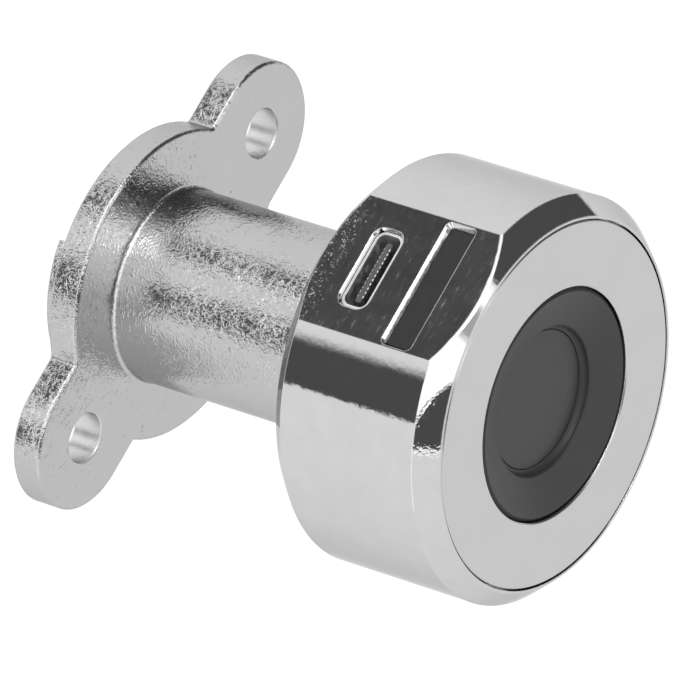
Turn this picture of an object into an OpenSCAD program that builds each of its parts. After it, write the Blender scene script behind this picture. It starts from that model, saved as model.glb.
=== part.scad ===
// Fingerprint cabinet lock: a turning knob head on a fixed barrel, with a cam behind the mounting plate.
// The origin is the centre of the plate's front face. The head points to -Y and the flat faces +Z.
// Most modules are drawn in the lock's own axis frame: X across, Y up, Z forwards from the plate, as depth u.

/* [Mounting plate] */
// Diameter of the round plate that lies behind the panel
plate_d = 32.2; // [30:0.1:40]
// Thickness of the plate and its ears
plate_t = 3.4; // [2.4:0.1:5]
// Bevel along the front and rear edges of the plate
plate_bevel = 0.25; // [0.1:0.05:0.5]
// Width of each ear, which also rounds its end
ear_w = 14.9; // [12:0.1:17]
// Distance between the two screw holes
hole_spacing = 37.1; // [34:0.1:48]
// Diameter of the screw holes
hole_d = 5.2; // [3:0.1:7]
// Bevel at both mouths of the screw holes
hole_bevel = 0.1; // [0.05:0.05:0.6]
// Radius of the blend between an ear and the disc
ear_blend_r = 0.6; // [0.4:0.1:4]

/* [Cam stop] */
// Outer diameter of the raised stop behind the plate
stop_d = 25.7; // [22:0.1:30]
// Height of the stop behind the plate
stop_h = 2.9; // [1.5:0.1:4]
// Space between the stop and the round eye of the cam
stop_eye_gap = 1; // [0.4:0.1:1.5]
// Space between the stop's end faces and the side of the cam
stop_end_gap = 0.35; // [0.3:0.05:1]

/* [Barrel and neck] */
// Outer diameter of the barrel that passes through the panel
barrel_d = 20.1; // [18:0.1:24]
// Length of the barrel in front of the plate
barrel_l = 29.2; // [18:0.1:60]
// Fillet at the root of the barrel
root_r = 0.4; // [0.2:0.1:1]
// Diameter of the wide bore in the barrel
barrel_bore_d = 13.6; // [11:0.1:15]
// Length of the narrow front bearing for the spindle
bearing_l = 8; // [5:0.5:12]
// Diameter of the neck that the knob turns on
neck_d = 12; // [10.5:0.1:13]
// Radial running clearance of every shaft in its bore
running_gap = 0.05; // [0.02:0.01:0.1]
// Radial clearance of a piece that is pressed or glued into its seat
seat_gap = 0.03; // [0.02:0.01:0.1]
// Length of the bush at the rear of the barrel
bush_l = 6; // [3:0.5:10]

/* [Retaining clip] */
// Thickness of the clip
clip_t = 0.8; // [0.5:0.1:1]
// How far the clip stands out from the neck
clip_reach = 1.4; // [1:0.1:2]
// Depth of the clip's groove in the neck
groove_depth = 0.5; // [0.3:0.05:0.7]
// Width of the opening in the clip
clip_opening = 5; // [3:0.5:7]

/* [Knob shell] */
// Diameter of the knob head
head_d = 41.9; // [41:0.1:48]
// Length of the knob head
head_l = 19.6; // [19.3:0.1:24]
// Gap between the barrel's shoulder and the knob's rear cover
head_gap = 0.2; // [0.1:0.05:0.5]
// How far the rear cover lies inside the shell's rear end
cover_set = 1.9; // [1.2:0.1:2.2]
// Wall of the shell
shell_wall = 2.6; // [2.2:0.1:2.8]
// Length of the chamfer at the front edge, along the axis
chamfer_l = 2.1; // [1:0.1:3]
// Width of the chamfer at the front edge, across the axis
chamfer_w = 1.8; // [1:0.1:2]
// Length of the chamfer at the rear edge, along the axis
rear_chamfer_l = 1.55; // [0.8:0.05:1.8]
// Width of the chamfer at the rear edge, across the axis
rear_chamfer_w = 1.45; // [0.8:0.05:1.6]
// How deep the flat cuts into the round of the shell
flat_cut = 1.35; // [1.2:0.05:1.6]
// Radius of the round between the flat and the chamfer in front of it
flat_front_r = 0.8; // [0.4:0.05:1.2]
// Wall behind the flat
flat_wall = 3.2; // [2.8:0.1:3.4]
// Thin lip of the shell around the face ring
lip_w = 0.25; // [0.2:0.05:0.5]
// Inner flange of the shell, behind the face ring
flange_t = 1.5; // [1:0.1:2]
// How far the inner flange reaches in from the ring's seat
flange_w = 1.9; // [1.2:0.1:2.4]

/* [Face ring and sensor] */
// Thickness of the face ring
ring_t = 1.5; // [1:0.1:2]
// Gap around the face ring
ring_gap = 0.16; // [0.05:0.01:0.3]
// Diameter of the black finger guide
guide_d = 23.8; // [20:0.1:26]
// Gap around the finger guide in the face ring
guide_gap = 0.12; // [0.05:0.01:0.3]
// How far the guide's outer edge lies behind the ring's face
guide_set = 0.1; // [0.05:0.05:0.3]
// Fall of the guide's surface from its edge to the dish
guide_fall = 1.3; // [0.4:0.05:1.4]
// Diameter of the dish at its rim
dish_d = 15.4; // [14.6:0.1:18]
// Diameter of the dish at its floor
dish_floor_d = 14.4; // [10:0.1:15]
// Depth of the dish below its rim
dish_depth = 0.9; // [0.3:0.05:1]
// Thickness of the fingerprint sensor
sensor_t = 0.4; // [0.3:0.1:0.8]
// Least thickness of the guide's flange behind the face ring
guide_flange_t = 0.8; // [0.6:0.1:1.2]
// How far the guide's flange reaches out behind the ring
guide_flange_w = 1.6; // [1:0.1:2.5]
// Thickness of the small sensor board
sensor_board_t = 1; // [0.6:0.1:1.2]
// Margin of the sensor board around the sensor
sensor_board_margin = 1.4; // [1:0.1:3]

/* [Charging port] */
// Width of the port's opening in the flat
port_w = 8.9; // [8.6:0.1:9.6]
// Height of the port's opening in the flat
port_h = 3.35; // [3.2:0.05:3.8]
// Corner radius of the port's opening
port_corner_r = 1.15; // [0.8:0.05:1.5]
// Land between the knob's rear cover and the port's opening
port_margin = 0.2; // [0.1:0.05:1]
// Gap between the opening and the port's metal shell
port_gap = 0.05; // [0.03:0.01:0.1]
// Width of the sloped rim around the port's opening
port_rim = 0.15; // [0.1:0.05:0.3]
// Depth of the sloped rim around the port's opening
port_rim_depth = 0.25; // [0.15:0.05:0.4]
// Wall of the port's metal shell
port_wall = 0.3; // [0.2:0.05:0.4]
// How far the port's mouth lies below the flat
port_set = 0.5; // [0.2:0.05:1]
// Length of the port behind its mouth
port_l = 6.7; // [6.2:0.1:7.2]
// Width of the tongue inside the port
tongue_w = 6.9; // [6:0.1:7.2]
// Thickness of the tongue inside the port
tongue_t = 0.7; // [0.6:0.05:0.9]
// How far the tongue's tip lies behind the port's mouth
tongue_set = 0.35; // [0.2:0.05:1]

/* [Indicator window] */
// Length of the window's rim across the flat
window_w = 14.4; // [10:0.1:14.4]
// Height of the window's rim along the axis
window_h = 3.55; // [2.5:0.05:4.5]
// Land between the port's opening and the window
window_margin = 3.55; // [2:0.05:4]
// Depth of the window's face below the flat
window_set = 0.6; // [0.4:0.05:1]
// Width of the sloped rim around the window
window_rim = 0.35; // [0.15:0.05:0.5]
// Corner radius of the window
window_corner_r = 0.3; // [0.2:0.05:0.8]
// Flange around the lens, behind the flat
lens_flange = 0.7; // [0.4:0.1:0.7]
// Thickness of the lens flange
lens_flange_t = 1; // [0.6:0.1:1.2]

/* [Spindle and cam] */
// Diameter of the spindle
spindle_d = 8; // [6.5:0.1:8.4]
// Width across the spindle's square tail
square_w = 6; // [5:0.1:6.2]
// Thickness of the cam
cam_t = 2; // [1.5:0.1:3]
// Width of the cam's arm
cam_w = 7.2; // [6:0.1:9]
// Length of the cam from the axis to its tip
cam_reach = 21; // [18:0.5:45]
// Diameter of the cam's round eye
cam_eye_d = 14.4; // [12:0.1:16]
// Gap between the plate's rear face and the cam
cam_gap = 0.3; // [0.3:0.05:1]
// Clearance around the square tail in the cam
square_gap = 0.05; // [0.03:0.01:0.1]
// Thread diameter of the cam screw
cam_screw_d = 4; // [3:0.5:4.5]
// Length of the cam screw below its head
cam_screw_l = 10; // [6:0.5:14]
// Thickness of the washer under the cam screw
cam_washer_t = 0.8; // [0.5:0.1:1.2]

/* [Clutch] */
// Diameter of the spindle's toothed hub inside the knob
hub_d = 9.2; // [8.8:0.1:9.4]
// Depth of the slots in the hub
hub_slot_depth = 1.5; // [1.4:0.1:1.7]
// Thickness of the thrust washer under the hub
thrust_washer_t = 0.5; // [0.3:0.1:0.8]
// Travel of the clutch slider
clutch_travel = 1.5; // [1.3:0.1:1.6]
// Gap between slider and hub when the clutch is open
clutch_gap = 0.3; // [0.3:0.05:0.6]
// Width of the slider's nose
nose_w = 2.2; // [1.6:0.1:2.6]
// Width of the slider's nut
nut_w = 4.4; // [3.6:0.1:5]
// Height of the slider's nut
nut_h = 4; // [3.2:0.1:4.4]
// Length of the slider's nut
nut_l = 1.7; // [1.4:0.1:2]
// Side clearance of the slider in its guide and in the hub's slots
slide_gap = 0.1; // [0.08:0.01:0.2]
// Diameter of the small motor
motor_d = 6; // [5:0.1:6.4]
// Distance of the motor's rear end from the shell's wall
motor_wall_gap = 1.8; // [1.4:0.1:3]
// Diameter of the lead screw on the motor's shaft
lead_screw_d = 1.6; // [1.2:0.1:2]

/* [Inside of the knob] */
// Thickness of the knob's rear cover
base_t = 2.2; // [1.8:0.1:2.6]
// Step that the rear cover seats on, inside the shell
base_step = 0.5; // [0.3:0.05:0.8]
// Distance of the four screw bosses' centres from the cavity's wall
boss_inset = 1.75; // [1.6:0.05:1.9]
// Direction of the first boss from the X axis
boss_angle = 40; // [38:1:44]
// Radius of a screw boss
boss_r = 2; // [1.8:0.1:2.2]
// Thread diameter of the screws in the rear cover
base_screw_d = 1.8; // [1.4:0.1:2]
// Head diameter of the screws in the rear cover
base_screw_head_d = 3.4; // [3:0.1:3.8]
// Length of the screws in the rear cover
base_screw_l = 7; // [5:0.5:9]
// Thickness of the inner frame's web
web_t = 1; // [0.8:0.1:1.4]
// Thickness of the inner frame's walls
frame_wall = 0.9; // [0.6:0.1:1]
// Thickness of the main board
main_board_t = 1; // [0.8:0.1:1.2]
// Thickness of the board below the port and the window
port_board_t = 0.8; // [0.6:0.1:1]
// Width of the board below the port and the window
port_board_w = 15; // [12:0.5:16]
// Width of the battery
battery_w = 16.4; // [12:0.2:17]
// Distance of the battery's upper side below the axis
battery_drop = 6.4; // [6.2:0.1:6.8]
// Diameter of the buzzer
buzzer_d = 7.5; // [6:0.1:8]
// Height of the buzzer
buzzer_h = 3; // [2:0.1:3.4]
// Distance of the buzzer's centre from the cavity's wall
buzzer_inset = 7.35; // [6.9:0.05:7.8]

/* [Hidden] */
$fn = 96;

eps = 0.01;
// A length well past every outline, for cutting half-spaces
far = 80;

// Plate
plate_r = plate_d / 2;
ear_r = ear_w / 2;
hole_x = hole_spacing / 2;
blend_x = sqrt((plate_r + ear_blend_r) ^ 2 - (ear_r + ear_blend_r) ^ 2);
blend_root = plate_bevel + 0.5;

// Depths along the axis, from the plate's front face forwards
cover_u = barrel_l + head_gap;
head_u = cover_u - cover_set;
face_u = head_u + head_l;
ring_seat_u = face_u - ring_t;
flange_u = ring_seat_u - flange_t;
base_front_u = cover_u + base_t;
clip_gap = 0.2;
clip_u = base_front_u + clip_gap;
neck_tip = 0.3;
neck_end_u = clip_u + clip_t + neck_tip;
thrust_gap = 0.05;
hub_u = neck_end_u + thrust_washer_t + thrust_gap;
web_gap = 0.2;
web_u = neck_end_u + web_gap;
web_front_u = web_u + web_t;
motor_gap = 0.25;
motor_u = web_front_u + motor_gap + motor_d / 2;
board_gap = 0.35;
main_board_u = motor_u + motor_d / 2 + board_gap;
main_board_front_u = main_board_u + main_board_t;
guide_edge_u = face_u - guide_set;
dish_rim_u = guide_edge_u - guide_fall;
dish_floor_u = dish_rim_u - dish_depth;
guide_rear_u = min(ring_seat_u - guide_flange_t, dish_floor_u - sensor_t);
sensor_board_u = guide_rear_u - sensor_board_t;

// Radii of the knob
head_r = head_d / 2;
cavity_r = head_r - shell_wall;
base_seat_r = cavity_r + base_step;
base_r = base_seat_r - seat_gap;
ring_seat_r = head_r - chamfer_w - lip_w;
ring_r = ring_seat_r - ring_gap;
flange_r = ring_seat_r - flange_w;
guide_r = guide_d / 2;
guide_hole_r = guide_r + guide_gap;

// Heights above the axis
flat_z = head_r - flat_cut;
chamfer_slope = atan(chamfer_w / chamfer_l);
// The flat's front edge runs over the chamfer in a curve: its bulge, its corner, its radius and its tip
flat_bulge = flat_cut * chamfer_l / chamfer_w;
flat_corner_x = sqrt(head_r ^ 2 - flat_z ^ 2);
flat_curve_r = (flat_corner_x ^ 2 + flat_bulge ^ 2) / (2 * flat_bulge);
flat_front_u = face_u - chamfer_l + flat_bulge;
inner_flat_z = flat_z - flat_wall;
window_z = flat_z - window_set;
lens_w = window_w - 2 * window_rim;
lens_h = window_h - 2 * window_rim;
port_mouth_z = flat_z - port_set;
port_board_z = port_mouth_z - port_l;
port_u = base_front_u + port_margin + port_h / 2;
window_u = port_u + port_h / 2 + window_margin + window_h / 2;

// Finger guide and sensor
sensor_r = dish_floor_d / 2 - seat_gap;
sensor_board_r = dish_floor_d / 2 + sensor_board_margin;

// Spindle, cam and screw behind the plate
spindle_r = spindle_d / 2;
spindle_bore_r = spindle_r + running_gap;
cam_front_u = -plate_t - cam_gap;
cam_rear_u = cam_front_u - cam_t;
tail_short = 0.2;
tail_u = cam_rear_u + tail_short;
cam_washer_r = spindle_r + 1;
cam_washer_u = cam_rear_u - cam_washer_t;
cam_screw_r = cam_screw_d / 2;
cam_head_r = cam_screw_r * 1.85;
cam_head_l = cam_screw_r * 1.15;
stop_r = stop_d / 2;
stop_inner_r = cam_eye_d / 2 + stop_eye_gap;
stop_edge_x = cam_w / 2 + stop_end_gap;

// Clutch: hub, slider and lead screw lie on one line across the knob
hub_r = hub_d / 2;
hub_front_u = motor_u + nose_w / 2 + 0.9;
slot_w = nose_w + 2 * slide_gap;
slot_core_r = hub_r - hub_slot_depth;
nose_tip_x = -hub_r - clutch_gap;
nut_front_x = nose_tip_x - clutch_travel;
nut_rear_x = nut_front_x - nut_l;
nut_bore_end_x = nose_tip_x - 1;
lead_screw_tip_x = nut_bore_end_x - 0.2;
motor_front_x = nut_rear_x - 1.5;
motor_rear_x = motor_wall_gap - sqrt(cavity_r ^ 2 - (motor_d / 2) ^ 2);
motor_l = motor_front_x - motor_rear_x;
lead_screw_r = lead_screw_d / 2;
motor_shaft_r = 0.5;
rail_rear_x = nut_rear_x - 1.1;
rail_front_x = -hub_r - 0.7;

// Inner frame
rim_outer_r = cavity_r - 0.45;
rim_inner_r = rim_outer_r - frame_wall;
hub_pass_r = hub_r + 0.4;
boss_pass_r = boss_r + 0.3;
port_board_under_z = port_board_z - port_board_t;
board_top_z = port_board_under_z - 0.3;
boss_from_axis = cavity_r - boss_inset;
buzzer_x = cavity_r - buzzer_inset;
boss_set = 0.1;
boss_u = base_front_u + boss_set;
shelf_l = 3;
shelf_x = port_board_w / 2 - shelf_l / 6;
battery_gap = 0.1;
battery_top_z = -battery_drop;
tray_x = battery_w / 2 + battery_gap;
tray_wall_gap = 0.25;
tray_outer_z = -sqrt((cavity_r - tray_wall_gap) ^ 2 - (tray_x + frame_wall) ^ 2);
battery_bottom_z = tray_outer_z + frame_wall + battery_gap;
battery_h = battery_top_z - battery_bottom_z;
battery_u0 = web_front_u;
battery_u1 = main_board_u - 0.3;
BOSSES = [for (a = [boss_angle, 180 - boss_angle, 180 + boss_angle, 360 - boss_angle]) a];

// Turns the axis frame into the part's frame, so that depth u runs to -Y and Y turns up to +Z
module on_axis() {
    rotate([90, 0, 0]) children();
}

// Solid of revolution about the lock's axis from [radius, depth] points
module turned(profile) {
    on_axis() rotate_extrude() polygon(profile);
}

// Plain ring about the lock's axis
module ring(outer_r, inner_r, u0, u1) {
    turned([[inner_r, u0], [outer_r, u0], [outer_r, u1], [inner_r, u1]]);
}

// Box in the axis frame between two corners
module block(low, high) {
    translate(low) cube(high - low);
}

// Rectangle with true round corners, centred
module rounded_rectangle(w, h, r) {
    square([w - 2 * r, h], center = true);
    square([w, h - 2 * r], center = true);
    for (x = [-1, 1], y = [-1, 1]) {
        translate([x * (w / 2 - r), y * (h / 2 - r)]) circle(r);
    }
}

// Rounded prism that stands on the flat's side of the knob, centred at depth u, from height z0 to z1
module upright_prism(w, h, r, u, z0, z1) {
    translate([0, -u, z0]) linear_extrude(z1 - z0) rounded_rectangle(w, h, r);
}

// Places copies at the four screw bosses, in the axis frame
module at_bosses() {
    for (a = BOSSES) {
        rotate([0, 0, a]) translate([boss_from_axis, 0, 0]) children();
    }
}

// Round plate or ear end with both edges bevelled, in the axis frame
module bevelled_disc(r) {
    b = plate_bevel;
    rotate_extrude()
        polygon([[0, -plate_t], [r - b, -plate_t], [r, b - plate_t], [r, -b], [r - b, 0], [0, 0]]);
}

// Straight middle of both ears, bevelled along its long edges
module bevelled_bar() {
    b = plate_bevel;
    r = ear_r;
    section = [[r - b, -plate_t], [r, b - plate_t], [r, -b], [r - b, 0],
        [b - r, 0], [-r, -b], [-r, b - plate_t], [b - r, -plate_t]];
    rotate([90, 0, 90]) translate([0, 0, -hole_x]) linear_extrude(hole_spacing) polygon(section);
}

// Fillet in the corner between disc and ear: a prism whose outer side is a round hollow with bevelled mouths
module ear_blend() {
    f = ear_blend_r;
    b = plate_bevel;
    centre = [blend_x, ear_r + f];
    disc_point = centre * (plate_r - blend_root) / (plate_r + f);
    difference() {
        translate([0, 0, -plate_t]) linear_extrude(plate_t)
            polygon([[blend_x, ear_r - blend_root], centre, disc_point, [disc_point[0], ear_r - blend_root]]);
        translate([centre[0], centre[1], -plate_t - eps]) cylinder(r = f, h = plate_t + 2 * eps);
        translate([centre[0], centre[1], -b]) cylinder(r1 = f, r2 = f + b + eps, h = b + eps);
        translate([centre[0], centre[1], -plate_t - eps]) cylinder(r1 = f + b + eps, r2 = f, h = b + eps);
    }
}

// Screw hole through an ear with a bevel at both mouths
module ear_hole() {
    r = hole_d / 2;
    b = hole_bevel;
    translate([0, 0, -plate_t - eps]) cylinder(r = r, h = plate_t + 2 * eps);
    translate([0, 0, -b]) cylinder(r1 = r, r2 = r + b + eps, h = b + eps);
    translate([0, 0, -plate_t - eps]) cylinder(r1 = r + b + eps, r2 = r, h = b + eps);
}

// Raised stop behind the plate, on the side that the cam never sweeps
module cam_stop() {
    b = plate_bevel;
    intersection() {
        rotate_extrude() polygon([[stop_inner_r, -plate_t - stop_h], [stop_r - b, -plate_t - stop_h],
            [stop_r, b - plate_t - stop_h], [stop_r, eps - plate_t], [stop_inner_r, eps - plate_t]]);
        translate([-far - stop_edge_x, -far / 2, -far / 2]) cube(far);
    }
}

// One casting: plate with two ears, cam stop, barrel, and the stepped neck that carries the knob
module mounting_body() {
    barrel_r = barrel_d / 2;
    neck_r = neck_d / 2;
    groove_r = neck_r - groove_depth;
    edge = 0.3;
    color("gainsboro") on_axis() difference() {
        union() {
            bevelled_disc(plate_r);
            bevelled_bar();
            for (side = [-1, 1]) {
                translate([side * hole_x, 0, 0]) bevelled_disc(ear_r);
            }
            for (a = [0, 1], b = [0, 1]) {
                mirror([a, 0, 0]) mirror([0, b, 0]) ear_blend();
            }
            cam_stop();
            rotate_extrude() difference() {
                polygon([[0, -plate_t / 2], [barrel_r + root_r, -plate_t / 2], [barrel_r + root_r, root_r],
                    [barrel_r, root_r], [barrel_r, barrel_l - edge], [barrel_r - edge, barrel_l],
                    [neck_r, barrel_l], [neck_r, clip_u], [groove_r, clip_u], [groove_r, clip_u + clip_t],
                    [neck_r, clip_u + clip_t], [neck_r, neck_end_u], [0, neck_end_u]]);
                translate([barrel_r + root_r, root_r]) circle(root_r);
            }
        }
        for (side = [-1, 1]) {
            translate([side * hole_x, 0, 0]) ear_hole();
        }
        translate([0, 0, -plate_t - eps])
            cylinder(r = barrel_bore_d / 2, h = plate_t + neck_end_u - bearing_l);
        cylinder(r = spindle_bore_r, h = neck_end_u + eps);
    }
}

// Bush that carries the spindle at the rear of the barrel
module rear_bush() {
    color("goldenrod") ring(barrel_bore_d / 2 - seat_gap, spindle_bore_r, -plate_t, bush_l - plate_t);
}

// Open spring clip in the neck's groove, which holds the knob on
module retaining_clip() {
    inner_r = neck_d / 2 - groove_depth + seat_gap;
    outer_r = neck_d / 2 + clip_reach;
    side_gap = 0.05;
    color("dimgray") on_axis() difference() {
        translate([0, 0, clip_u + side_gap]) difference() {
            cylinder(r = outer_r, h = clip_t - 2 * side_gap);
            translate([0, 0, -eps]) cylinder(r = inner_r, h = clip_t);
        }
        translate([0, -clip_opening / 2, clip_u]) cube([far, clip_opening, clip_t]);
    }
}

// Plastic washer between the neck and the spindle's hub
module thrust_washer() {
    color("white") ring(hub_r - 0.1, spindle_bore_r, neck_end_u, neck_end_u + thrust_washer_t);
}

// Space under the flat: turned about an upright axis, so that its rounded rim follows the flat's front edge
module under_flat() {
    arc_shift = 0.015;
    slope_ease = 6.5;
    arc_x = flat_curve_r - flat_front_r * tan(chamfer_slope / 2) + arc_shift;
    arc_z = flat_z - flat_front_r;
    rim_slope = chamfer_slope - slope_ease;
    rim_x = arc_x + flat_front_r * sin(rim_slope);
    rim_z = arc_z + flat_front_r * cos(rim_slope);
    translate([0, flat_curve_r - flat_front_u, 0]) rotate_extrude() union() {
        polygon([[0, -far], [far, -far], [far, rim_z - (far - rim_x) * tan(rim_slope)], [rim_x, rim_z],
            [arc_x, arc_z], [arc_x, flat_z], [0, flat_z]]);
        translate([arc_x, arc_z]) circle(flat_front_r);
    }
}

// Outside of the knob: a turned form with a chamfer at both ends, cut by the flat
module shell_outside() {
    intersection() {
        turned([[0, head_u], [head_r - rear_chamfer_w, head_u], [head_r, head_u + rear_chamfer_l],
            [head_r, face_u - chamfer_l], [head_r - chamfer_w, face_u], [0, face_u]]);
        under_flat();
    }
}

// Space inside the shell: seat for the rear cover, cavity with its own flat, and seat for the face ring
module shell_inside() {
    ring(base_seat_r, 0, head_u - 1, base_front_u);
    intersection() {
        ring(cavity_r, 0, base_front_u - eps, flange_u);
        translate([-far / 2, -far, inner_flat_z - far]) cube(far);
    }
    ring(flange_r, 0, flange_u - eps, ring_seat_u + eps);
    ring(ring_seat_r, 0, ring_seat_u, face_u + 1);
}

// Opening through the flat with a sloped rim, which widens by the rim's width on every side up to the flat
module rimmed_opening(w, h, r, u, rim, depth) {
    lift = 0.2;
    rise = depth + lift;
    spread = rim * rise / depth;
    upright_prism(w, h, r, u, inner_flat_z - 1, flat_z);
    translate([0, -u, flat_z - depth]) {
        rotate([90, 0, 0]) linear_extrude(h - 2 * r, center = true)
            polygon([[-w / 2, 0], [w / 2, 0], [w / 2 + spread, rise], [-w / 2 - spread, rise]]);
        rotate([90, 0, 90]) linear_extrude(w - 2 * r, center = true)
            polygon([[-h / 2, 0], [h / 2, 0], [h / 2 + spread, rise], [-h / 2 - spread, rise]]);
        for (x = [-1, 1], y = [-1, 1]) {
            translate([x * (w / 2 - r), y * (h / 2 - r), 0]) cylinder(r1 = r, r2 = r + spread, h = rise);
        }
    }
}

// Die-cast knob shell with the port's and the window's openings in its flat
module knob_shell() {
    color("silver") difference() {
        union() {
            difference() {
                shell_outside();
                shell_inside();
            }
            on_axis() at_bosses() translate([0, 0, boss_u]) cylinder(r = boss_r, h = flange_u - boss_u + eps);
        }
        on_axis() at_bosses() translate([0, 0, boss_u - eps])
            cylinder(r = base_screw_d / 2 + running_gap, h = base_screw_l);
        rimmed_opening(port_w, port_h, port_corner_r, port_u, port_rim, port_rim_depth);
        rimmed_opening(lens_w, lens_h, window_corner_r, window_u, window_rim, window_set);
    }
}

// Satin ring that closes the front of the knob around the finger guide
module face_ring() {
    b = 0.12;
    color("lightgray") turned([[guide_hole_r, ring_seat_u], [ring_r, ring_seat_u], [ring_r, face_u - b],
        [ring_r - b, face_u], [guide_hole_r + b, face_u], [guide_hole_r, face_u - b]]);
}

// Black moulded finger guide, which slopes to a dish with a hollow curved wall around the sensor
module finger_guide() {
    floor_r = dish_floor_d / 2;
    soft = 0.35;
    b = 0.12;
    wall = [for (t = [90:-18:0]) [floor_r + (dish_d / 2 - floor_r) * sin(t),
        dish_floor_u + (dish_depth - b) * (1 - cos(t))]];
    color("#2b2b2d") turned(concat([[floor_r, guide_rear_u], [guide_r + guide_flange_w, guide_rear_u],
        [guide_r + guide_flange_w, ring_seat_u], [guide_r, ring_seat_u], [guide_r, guide_edge_u - soft],
        [guide_r - soft, guide_edge_u], [dish_d / 2 + b, dish_rim_u]], wall));
}

// Round fingerprint sensor at the bottom of the dish
module fingerprint_sensor() {
    b = 0.1;
    color("#232325") turned([[0, guide_rear_u], [sensor_r, guide_rear_u], [sensor_r, dish_floor_u - b],
        [sensor_r - b, dish_floor_u], [0, dish_floor_u]]);
}

module sensor_board() {
    color("darkgreen") ring(sensor_board_r, 0, sensor_board_u, guide_rear_u);
}

// Connector block between the sensor board and the main board
module sensor_connector() {
    half_w = sensor_board_r / 2;
    top_y = -sensor_board_r / 3;
    bottom_y = top_y - sensor_board_r / 3.3;
    color("ivory") on_axis() block([-half_w, bottom_y, main_board_front_u], [half_w, top_y, sensor_board_u]);
}

// Stamped metal shell of the charging port
module port_shell() {
    w = port_w - 2 * port_gap;
    h = port_h - 2 * port_gap;
    r = port_corner_r - port_gap;
    color("silver") difference() {
        upright_prism(w, h, r, port_u, port_board_z, port_mouth_z);
        upright_prism(w - 2 * port_wall, h - 2 * port_wall, r - port_wall, port_u,
            port_board_z + port_wall, port_mouth_z + 1);
    }
}

// Tongue inside the port, on its moulded foot
module port_tongue() {
    foot_t = 1.2;
    w = port_w - 2 * (port_gap + port_wall + seat_gap);
    h = port_h - 2 * (port_gap + port_wall + seat_gap);
    color("#1c1c1e") {
        upright_prism(w, h, port_corner_r - port_gap - port_wall - seat_gap, port_u,
            port_board_z + port_wall, port_board_z + port_wall + foot_t);
        upright_prism(tongue_w, tongue_t, tongue_t / 3, port_u,
            port_board_z + port_wall, port_mouth_z - tongue_set);
    }
}

// Board that carries the port and the indicator lights, parallel to the flat
module port_board() {
    u0 = base_front_u + 0.3;
    u1 = window_u + window_h / 2 + 1.1;
    color("darkgreen") on_axis()
        block([-port_board_w / 2, port_board_under_z, u0], [port_board_w / 2, port_board_z, u1]);
}

// Smoked lens in the window, flanged behind the flat
module indicator_window() {
    gap = 0.05;
    nose_r = window_corner_r - gap;
    color("#3a3a3c") {
        upright_prism(lens_w - 2 * gap, lens_h - 2 * gap, nose_r, window_u,
            inner_flat_z - lens_flange_t, window_z);
        upright_prism(lens_w + 2 * lens_flange, lens_h + 2 * lens_flange, nose_r, window_u,
            inner_flat_z - lens_flange_t, inner_flat_z);
    }
}

// Two small lights on the port board, below the window
module indicator_leds() {
    led_w = 1.6;
    led_h = 0.8;
    color("lightblue") for (side = [-1, 1]) {
        translate([side * window_w / 4, 0, 0])
            upright_prism(led_w, led_w, 0.2, window_u, port_board_z, port_board_z + led_h);
    }
}

// Round main board, cut straight below the port board and notched at the bosses
module main_board() {
    color("darkgreen") on_axis() difference() {
        translate([0, 0, main_board_u]) cylinder(r = rim_outer_r, h = main_board_t);
        block([-far / 2, board_top_z, main_board_u - 1], [far / 2, far, main_board_front_u + 1]);
        at_bosses() translate([0, 0, main_board_u - 1]) cylinder(r = boss_pass_r, h = main_board_t + 2);
    }
}

// Moulded carrier: web with rim, battery tray, motor cradle, slider guide and shelves for the port board
module inner_frame() {
    w = frame_wall;
    tray_top = battery_top_z + battery_gap;
    tray_bottom = battery_bottom_z - battery_gap;
    cradle_x = motor_d / 2 + 0.6;
    guide_y = nut_w / 2 + slide_gap;
    nut_floor_u = motor_u - nut_h / 2 - slide_gap;
    color("#4a4a4c") on_axis() difference() {
        union() {
            intersection() {
                union() {
                    translate([0, 0, web_u]) cylinder(r = rim_outer_r, h = web_t);
                    difference() {
                        translate([0, 0, base_front_u])
                            cylinder(r = rim_outer_r, h = main_board_u - base_front_u);
                        translate([0, 0, base_front_u - 1]) cylinder(r = rim_inner_r, h = head_l);
                    }
                }
                block([-far / 2, -far / 2, 0], [far / 2, board_top_z, far]);
            }
            difference() {
                block([-tray_x - w, tray_bottom - w, web_u], [tray_x + w, tray_top + w, main_board_u]);
                block([-tray_x, tray_bottom, web_front_u], [tray_x, tray_top, far]);
            }
            block([motor_rear_x + 0.6, -cradle_x, web_u],
                [motor_front_x - 0.6, cradle_x, motor_u - motor_d / 4]);
            for (side = [-1, 1]) {
                block([rail_rear_x, min(side * guide_y, side * (guide_y + w)), web_u],
                    [rail_front_x, max(side * guide_y, side * (guide_y + w)), motor_u + nut_h / 4]);
                block([side * shelf_x - shelf_l / 2, board_top_z - shelf_l, web_u],
                    [side * shelf_x + shelf_l / 2, port_board_under_z, main_board_u - 0.3]);
            }
            block([rail_rear_x, -guide_y - w / 2, web_u], [rail_front_x, guide_y + w / 2, nut_floor_u]);
        }
        translate([0, 0, web_u - 1]) cylinder(r = hub_pass_r, h = far);
        at_bosses() translate([0, 0, base_front_u - 1]) cylinder(r = boss_pass_r, h = far);
        translate([motor_rear_x - 1, 0, motor_u]) rotate([0, 90, 0])
            cylinder(r = motor_d / 2 + seat_gap, h = motor_l + 1.2);
    }
}

// Rechargeable cell in the frame's tray, with its short edges rounded
module battery() {
    r = 1;
    h = battery_h - 2 * battery_gap;
    w = battery_w - 2 * battery_gap;
    color("slategray") on_axis() translate([0, battery_top_z - battery_h / 2, battery_u0])
        linear_extrude(battery_u1 - battery_u0) rounded_rectangle(w, h, r);
}

module buzzer() {
    color("#1a1a1a") on_axis() translate([buzzer_x, 0, main_board_u - buzzer_h]) difference() {
        cylinder(d = buzzer_d, h = buzzer_h);
        translate([0, 0, -eps]) cylinder(d = 1.4, h = 0.6);
    }
}

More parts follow.
